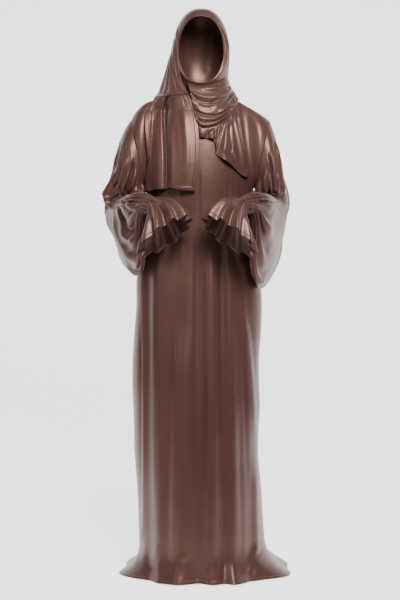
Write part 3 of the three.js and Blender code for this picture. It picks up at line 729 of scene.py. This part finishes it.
# %% Sleeves, wrist bands and ruffles
ROUND_MM, ALONG_MM = 520.0, 62.0     # scale of one turn and of one station in the crease tables
CREASE_DEPTH = 1.5                   # heavy satin folds deeper than its solid does
SLEEVE_CREASES = table(CREASE, [
    (300, 0.9, 314, 4.6, 6, 6, 10), (352, 0.8, 360, 3.8, -5, -6, 9), (326, 2.4, 344, 5.0, 6, 5, 8),
    (2, 2.0, 10, 5.2, 5, 5, 8), (54, 2.6, 84, 5.2, -8, 6, 9), (28, 3.2, 66, 5.0, 6, -5, 8),
    (12, 1.2, 24, 5.4, 10, 6, 12), (38, 0.9, 48, 5.0, -9, -5, 10), (60, 1.3, 70, 6.6, 12, 6, 13),
    (84, 0.8, 96, 5.8, -8, -5, 11), (104, 1.4, 112, 6.8, 8, 5, 12),
    (128, 1.0, 134, 6.0, -9, -5, 11),
    (150, 1.6, 158, 7.2, 9, 5, 13), (176, 1.2, 180, 6.4, -7, -4, 11),
    (204, 1.4, 206, 6.8, 8, 5, 12),
    (232, 1.2, 230, 6.2, -8, -4, 11), (262, 1.4, 256, 5.6, 7, 4, 11),
    (318, 1.3, 330, 5.2, -8, -4, 10),
    (340, 1.1, 350, 4.8, 7, 5, 10), (20, 4.9, 76, 5.7, 9, -6, 9), (330, 4.8, 382, 5.3, -8, 5, 8),
    (30, 5.9, 92, 6.3, 7, 5, 8), (60, 4.3, 116, 5.1, -9, -4, 9), (88, 6.4, 148, 8.6, 14, 6, 12),
    (70, 7.2, 132, 10.2, 15, -6, 10), (52, 8.0, 104, 10.8, 10, 5, 9),
    (108, 7.4, 162, 10.0, -12, 5, 11),
    (142, 7.0, 188, 9.6, 12, -6, 12), (210, 7.2, 198, 10.0, -12, 5, 12),
    (238, 7.6, 222, 10.4, 10, -5, 10),
    (262, 8.0, 250, 10.8, -9, 4, 9), (288, 8.4, 280, 10.9, 8, -4, 8),
    (22, 8.3, 40, 10.8, 8, -4, 8),
])


def arm_creased(surface, start, end):
    """Adds the creases of a sleeve, with u as degrees round the arm and v as stations along."""
    def shaped(u, v):
        degrees = np.mod(u, 1) * 360
        station = mix(start, end, v)
        height = np.zeros(np.shape(degrees + station))
        flat = {name: SLEEVE_CREASES[name].copy() for name in SLEEVE_CREASES}
        for end_name in ("low", "high"):
            flat[end_name + "X"] *= ROUND_MM / 360
            flat[end_name + "Y"] *= ALONG_MM
        for turn in (-ROUND_MM, 0, ROUND_MM):
            height += crease_height(flat, degrees * ROUND_MM / 360 + turn, station * ALONG_MM)
        height *= CREASE_DEPTH * smooth((station - 0.3) / 0.8) * smooth((11.3 - station) / 0.9)
        return surface(u, v) + normals(surface, u, v) * height[..., None]
    return shaped


GAP = 0.05     # in stations, between a band and its neighbours
sleeves, bands, ruffles = [], [], []
for side in ARMS:
    name = side["name"]
    tube = arm_creased(arm_surface(side, 0, BAND_START - GAP), 0, BAND_START - GAP)
    sleeves.append(cloth(f"sleeve_{name}_cloth", tube, 200, 130, f"sleeve_{name}", tube=True))
    band = arm_surface(side, BAND_START, BAND_END - GAP)
    bands.append(cloth(f"band_{name}", band, 192, 8, f"wrist_band_{name}", tube=True))
    skirt = arm_surface(side, BAND_END + GAP, LAST_RING)
    ruffles.append(cloth(f"ruffle_{name}", skirt, 240, 50, f"cuff_ruffle_{name}", tube=True,
                         hems="top"))

# %% [markdown]
# ## The hood
# The scarf is cut as one shape with a hole for the face. Its rings fan back about a line below
# the chin: the first ring is the face opening and the last meets the neckline.

# %% Hood
CHIN_LINE = np.array([3.5, -80.0, 1440.0])
HOOD = table("fan near far half setback", [
    (0, 17, 212, 66.5, 22), (5, 16, 232, 74, 16), (12, 15, 247, 80, 8), (20, 14, 253, 83, 2),
    (30, 13, 249, 84.5, 0), (42, 12, 235, 84.5, 0), (56, 11, 213, 83, 0), (70, 10, 191, 80, 0),
    (82, 8, 170, 76, 0),
])
NECK_RING = 9
CROWN_SQUARENESS = 0.87


def neckline(angle):
    ahead = np.cos(angle)
    y = mix(NECK_Y, np.where(ahead > 0, NECK_FRONT_Y, CARRY[1]), np.abs(ahead))
    z = mix(NECK_Z, np.where(ahead > 0, NECK_FRONT_Z, CARRY[2]), ahead**2)
    return stack(NECK_X * np.sin(angle), y, z)


def hood_ring(index, angle):
    if index == NECK_RING:
        return neckline(math.pi - angle) + np.array([0, 0, 2 * SEAM_GAP])
    fan, near, far, half, setback = (HOOD[name][index] for name in HOOD)
    fan *= DEG
    reach = (near + far) / 2 + (far - near) / 2 * np.cos(angle)
    back = setback * np.sin(angle) ** 2
    round_side = np.sign(np.sin(angle)) * np.abs(np.sin(angle)) ** CROWN_SQUARENESS
    return stack(CHIN_LINE[0] + half * round_side,
                 CHIN_LINE[1] + reach * math.sin(fan) + back * math.cos(fan),
                 CHIN_LINE[2] + reach * math.cos(fan) - back * math.sin(fan))


def hood_surface(u, v):
    u, v = np.broadcast_arrays(np.asarray(u, float), np.asarray(v, float))
    return blend_rings(hood_ring, NECK_RING, v * NECK_RING, u * 2 * math.pi)


HOOD_SIZE = (560.0, 420.0)
HOOD_CREASES = table(CREASE, [
    (72, 20, 150, 120, 6, 1.6, 9), (430, 30, 360, 130, -6, 1.5, 9), (96, 6, 196, 60, 6, 1.8, 7),
    (420, 10, 470, 110, 4, 1.8, 7), (60, 150, 40, 300, 5, 2, 12), (500, 150, 520, 300, -5, 2, 12),
    (20, 190, 10, 340, 3, -2, 12), (130, 90, 190, 210, -7, 2, 10), (440, 90, 380, 210, 7, 2, 10),
])
hood = cloth("hood_cloth", creased(hood_surface, HOOD_CREASES, HOOD_SIZE), 180, 120, "hood",
             tube=True, hems="bottom")

# %% [markdown]
# ## Cloth lying on cloth
# Every wound stretch of the scarf is worked out from the surface it lies on: find the place on
# the dress or the hood, then move out along its normal. A few Newton steps find the place, for
# all the points of a grid at once.

# %% Finding places on a surface
LIFT = 1.8
FOLDED_SEAM = 1.5
SEARCH_STEPS, SEARCH_STEP = 10, 1e-4


def moved_out(surface, u, v, lift):
    return surface(u, v) + normals(surface, u, v) * np.asarray(lift)[..., None]


def locate(surface, axes, wanted, start):
    """The (u, v) where two coordinates of the surface have the wanted values."""
    first, second = axes
    u, v = (np.array(value, float) for value in start)
    for _ in range(SEARCH_STEPS):
        here = surface(u, v)
        by_u = (surface(u + SEARCH_STEP, v) - here) / SEARCH_STEP
        by_v = (surface(u, v + SEARCH_STEP) - here) / SEARCH_STEP
        miss_first = wanted[0] - here[..., first]
        miss_second = wanted[1] - here[..., second]
        scale = by_u[..., first] * by_v[..., second] - by_v[..., first] * by_u[..., second]
        u = u + (miss_first * by_v[..., second] - by_v[..., first] * miss_second) / scale
        v = v + (by_u[..., first] * miss_second - miss_first * by_u[..., second]) / scale
    return u, v


def on_front(x, z, lift):
    x, z = np.broadcast_arrays(np.asarray(x, float), np.asarray(z, float))
    start = (0.5 + np.arcsin(x / 210) / math.pi, np.where(z > UNDERARM_Z, 0.86, 0.69))
    return moved_out(front_panel, *locate(front_panel, (0, 2), (x, z), start), lift)


def read_point(rows, u):
    return stack(*(read(rows, "u", u, name) for name in "xyz"))


def lerp(a, b, t):
    return a + (b - a) * np.asarray(t)[..., None]


print("a point on the chest", on_front(np.array([0.0]), np.array([1300.0]), 0.0)[0].round(1))

# %% [markdown]
# ## The drop and its flounce
# On the wearer's right the scarf falls from the temple and flares to a seam at the shoulder. A
# wider strip is gathered onto that seam, and so it stands in folds over the chest.

# %% Drop and flounce
DROP_SEAM = table("u x y z", [
    (0, -33, -94, 1424), (0.3, -72, -88, 1422), (0.6, -112, -60, 1420),
    (0.82, -137, -12, 1421), (1, -134, 38, 1417),
])
DROP_TOP = dict(front_y=-54, back_y=34, z=1588, low_z=1468)
FLOUNCE_END = 0.84
FLOUNCE = table("v inner outer", [
    (0, -33, -137), (0.25, -14, -160), (0.45, -6, -166), (0.75, -2, -160), (1, -13, -150),
])
FLOUNCE_HEM = table("u z", [(0, 1139), (0.25, 1140), (0.5, 1146), (0.75, 1143), (1, 1136)])
FLOUNCE_FOLDS = table("u height", [
    (0, 0.5), (0.12, 0.75), (0.3, 0.95), (0.46, 1), (0.53, 0.72), (0.59, 0.05), (0.65, 0.75),
    (0.76, 0.92), (0.85, 0.72), (0.93, 0.85), (1, 0.5),
])
FLOUNCE_FREE_Z = 1380
FLOUNCE_TURN = 1.55     # where the gathers start below the seam, in folded seams


def drop_surface(u, v):
    u, v = np.broadcast_arrays(np.asarray(u, float), np.asarray(v, float))
    y = mix(DROP_TOP["front_y"], DROP_TOP["back_y"], u)
    z = mix(DROP_TOP["z"], DROP_TOP["low_z"], v)
    start = (np.full(u.shape, 0.75), mix(0.1, 0.6, u))
    seat = locate(hood_surface, (1, 2), (y, z), start)
    on_hood = moved_out(hood_surface, *seat, LIFT + 0.3 + 10 * v)
    on_hood[..., 0] -= 4 * np.sin(3 * math.pi * u) ** 2 * np.sin(math.pi * v)
    return lerp(on_hood, read_point(DROP_SEAM, u), np.clip(v, 0, 1) ** 1.3)


def flounce_surface(u, v):
    u, v = np.broadcast_arrays(np.asarray(u, float), np.asarray(v, float))
    top = read_point(DROP_SEAM, u * FLOUNCE_END)
    top[..., 2] -= FLOUNCE_TURN * FOLDED_SEAM
    x = mix(read(FLOUNCE, "v", v, "inner"), read(FLOUNCE, "v", v, "outer"), u)
    z = mix(top[..., 2], read(FLOUNCE_HEM, "u", u, "z"), np.maximum(v, 0) ** 1.5)
    gather = read(FLOUNCE_FOLDS, "u", u, "height")
    on_chest = on_front(x, np.minimum(z, FLOUNCE_FREE_Z), LIFT + 2 + (9 + 10 * v) * gather)
    share = np.sin(np.clip(v / 0.3, 0, 1) * math.pi / 2)
    x, y = (mix(top[..., k], on_chest[..., k], share) for k in (0, 1))
    return stack(x, y, z)


DROP_SIZE = (190.0, 200.0)
DROP_CREASES = table(CREASE, [
    (22, 10, 18, 180, 5, 2.5, 7), (46, 30, 48, 190, -4, -2, 6), (70, 20, 78, 188, 5, 3, 8),
    (100, 40, 104, 190, -5, -2.5, 7), (128, 20, 136, 186, 4, 3, 8), (160, 50, 166, 190, -4, -2, 7),
])
FLOUNCE_SIZE = (260.0, 290.0)
FLOUNCE_CREASES = table(CREASE, [
    (14, 4, 18, 60, 2, -1.5, 4), (30, 2, 32, 44, -1, 1.4, 3.5), (44, 3, 46, 70, 1, -1.6, 4),
    (118, 3, 120, 80, -2, 2, 4.5), (138, 2, 140, 60, 1, 1.8, 4), (153, 4, 153, 286, 2, -4, 6),
    (150, 2, 162, 110, 2, -3, 5), (168, 3, 176, 90, -2, 2.4, 4.5), (186, 2, 196, 120, 2, -2.6, 5),
    (204, 3, 214, 80, -2, 2, 4), (222, 3, 232, 130, 2, -2.6, 5), (240, 2, 250, 90, -1, 2, 4),
    (212, 110, 222, 284, 4, 3, 10), (60, 60, 56, 286, -3, 2.5, 14), (100, 120, 96, 284, 2, -2, 12),
])
drop = cloth("drop", creased(drop_surface, DROP_CREASES, DROP_SIZE), 110, 80, "scarf_drop",
             hems="first last")
flounce = cloth("flounce", creased(flounce_surface, FLOUNCE_CREASES, FLOUNCE_SIZE), 190, 110,
                "scarf_flounce", hems="top first last")

# %% [markdown]
# ## The wrap under the chin
# The scarf is wound once under the chin. It shows as two swags: soft rolls that sag between the
# temple and the shoulder. Creases run the way the cloth is pulled, along the swag.

# %% Neck wraps
WRAP_EDGE = table("u x z", [
    (0, -17, 1374), (0.3, 8, 1362), (0.6, 50, 1361), (0.8, 78, 1382), (1, 102, 1410),
])
SWAG_EDGE = table("u x z", [
    (0, -4, 1330), (0.3, 10, 1321), (0.6, 42, 1328), (0.8, 74, 1352), (1, 107, 1396),
])
WRAP_LIFT, SWAG_LIFT = 16.0, 11.0


def wrap_edge(u):
    return on_front(read(WRAP_EDGE, "u", u, "x"), read(WRAP_EDGE, "u", u, "z"), WRAP_LIFT)


def swag_edge(u):
    return on_front(read(SWAG_EDGE, "u", u, "x"), read(SWAG_EDGE, "u", u, "z"), SWAG_LIFT)


def wrap_upper_surface(u, v):
    u, v = np.broadcast_arrays(np.asarray(u, float), np.asarray(v, float))
    station = mix(3.6, 7.6, np.clip(u, 0, 1) ** 1.5) / NECK_RING
    top = moved_out(hood_surface, mix(205, 82, u) / 360, station, LIFT + 0.2)
    out = 12 * np.sin(math.pi * v) * (1 - 0.5 * u) + 4 * np.sin(3 * math.pi * v) * (1 - u)
    return lerp(wrap_edge(u), top, v) + stack(0.4 * out * u, -out * (1 - 0.4 * u), 0.3 * out)


def wrap_lower_surface(u, v):
    u, v = np.broadcast_arrays(np.asarray(u, float), np.asarray(v, float))
    top = wrap_edge(u) - np.array([0, 0, FOLDED_SEAM])
    out = 9 * np.sin(math.pi * v) * (1 - 0.6 * u)
    return lerp(swag_edge(u), top, v) + stack(0 * out, -out, -0.4 * out)


UPPER_SIZE = (190.0, 90.0)
UPPER_CREASES = table(CREASE, [
    (-6, 62, 124, 50, 10, 5, 7), (-4, 47, 112, 38, 10, -6, 6), (30, 80, 150, 70, 5, 4, 6),
    (108, 6, 188, 9, 3, 5, 5), (20, 22, 100, 20, 6, -3, 9), (60, 34, 176, 44, -6, 3, 5),
    (120, 24, 186, 30, -3, -4, 5), (90, 66, 182, 60, 4, -3, 5),
])
LOWER_SIZE = (170.0, 42.0)
LOWER_CREASES = table(CREASE, [
    (-4, 30, 150, 34, 2, 3.5, 5), (-4, 12, 150, 22, 6, 3.5, 4.5), (0, 21, 150, 29, 4, -3.5, 3),
])
upper = cloth("wrap_upper", creased(wrap_upper_surface, UPPER_CREASES, UPPER_SIZE), 130, 70,
              "neck_wrap_upper")
lower = cloth("wrap_lower", creased(wrap_lower_surface, LOWER_CREASES, LOWER_SIZE), 130, 40,
              "neck_wrap_lower")

# %% [markdown]
# ## The free end and the back of the scarf
# The free end fans over the wearer's left breast, from the swag to a hem that ripples and runs out
# in a point. Behind, the scarf simply hangs from the head over the shoulders. No photograph shows
# the back, so it is kept plain.

# %% Scarf end and scarf back
END_HEM = table("u x z", [
    (0, -3, 1295), (0.2, 18, 1292), (0.36, 38, 1287), (0.5, 45, 1262), (0.6, 50, 1243),
    (0.75, 90, 1211), (0.88, 130, 1181), (1, 141, 1223),
])
END_RIPPLES = table("u height", [
    (0, 0.1), (0.1, 0.9), (0.2, 0.15), (0.31, 1), (0.4, 0.2), (0.5, 0.75), (0.58, 0.1),
    (0.68, 1), (0.8, 0.35), (0.9, 0.6), (1, 0.1),
])
SCARF_BACK = table("u angle station midX midY midZ hemX hemY hemZ", [
    (0, 80, 7.6, 106, 10, 1433, 116, 36, 1420), (0.25, 45, 7.4, 72, 70, 1420, 84, 84, 1340),
    (0.5, 0, 7, 0, 102, 1400, 0, 112, 1290), (0.75, -34, 6, -84, 74, 1430, -84, 92, 1310),
    (1, -50, 4.6, -132, 47, 1424, -142, 68, 1360),
])


def scarf_end_surface(u, v):
    u, v = np.broadcast_arrays(np.asarray(u, float), np.asarray(v, float))
    above = np.sqrt(np.clip(u, 0, 1))
    x = mix(read(END_HEM, "u", u, "x"), read(SWAG_EDGE, "u", above, "x"), v)
    z = mix(read(END_HEM, "u", u, "z"), read(SWAG_EDGE, "u", above, "z") - FOLDED_SEAM, v)
    low = LIFT + 1 + 14 * read(END_RIPPLES, "u", u, "height")
    return on_front(x, z, mix(low, SWAG_LIFT, smooth(v)))


def scarf_back_surface(u, v):
    u, v = np.broadcast_arrays(np.asarray(u, float), np.asarray(v, float))
    at = {name: read(SCARF_BACK, "u", u, name) for name in SCARF_BACK}
    top = moved_out(hood_surface, at["angle"] / 360, at["station"] / NECK_RING, LIFT + 0.2)
    middle = stack(at["midX"], at["midY"], at["midZ"])
    hem = stack(at["hemX"], at["hemY"], at["hemZ"])
    t = np.clip(v, 0, 1)[..., None]
    return hem * (1 - t) * (1 - 2 * t) + middle * 4 * t * (1 - t) + top * t * (2 * t - 1)


END_SIZE = (240.0, 120.0)
END_CREASES = table(CREASE, [
    (20, 10, 40, 110, 4, 3, 5), (50, 8, 72, 112, -4, -4, 5), (88, 12, 100, 108, 4, 4, 6),
    (124, 6, 126, 110, -5, -5, 5), (156, 4, 150, 112, 5, 5, 7), (188, 8, 172, 110, -4, -4.5, 5),
    (212, 16, 196, 112, 4, 3.5, 6), (230, 24, 218, 108, -3, -3, 4),
])
BACK_SIZE = (380.0, 290.0)
SCARF_BACK_CREASES = table(CREASE, [
    (60, 20, 80, 240, 8, 5, 14), (120, 30, 130, 250, -8, -4, 12), (180, 16, 178, 260, 6, 5, 14),
    (236, 24, 226, 240, -7, -4, 12), (292, 30, 276, 230, 8, 5, 14),
    (340, 40, 330, 220, -5, -3, 10),
])
end = cloth("scarf_end_cloth", creased(scarf_end_surface, END_CREASES, END_SIZE), 190, 90,
            "scarf_end", hems="bottom first last")
behind = cloth("scarf_back_cloth", creased(scarf_back_surface, SCARF_BACK_CREASES, BACK_SIZE),
               140, 100, "scarf_back", hems="bottom first last")
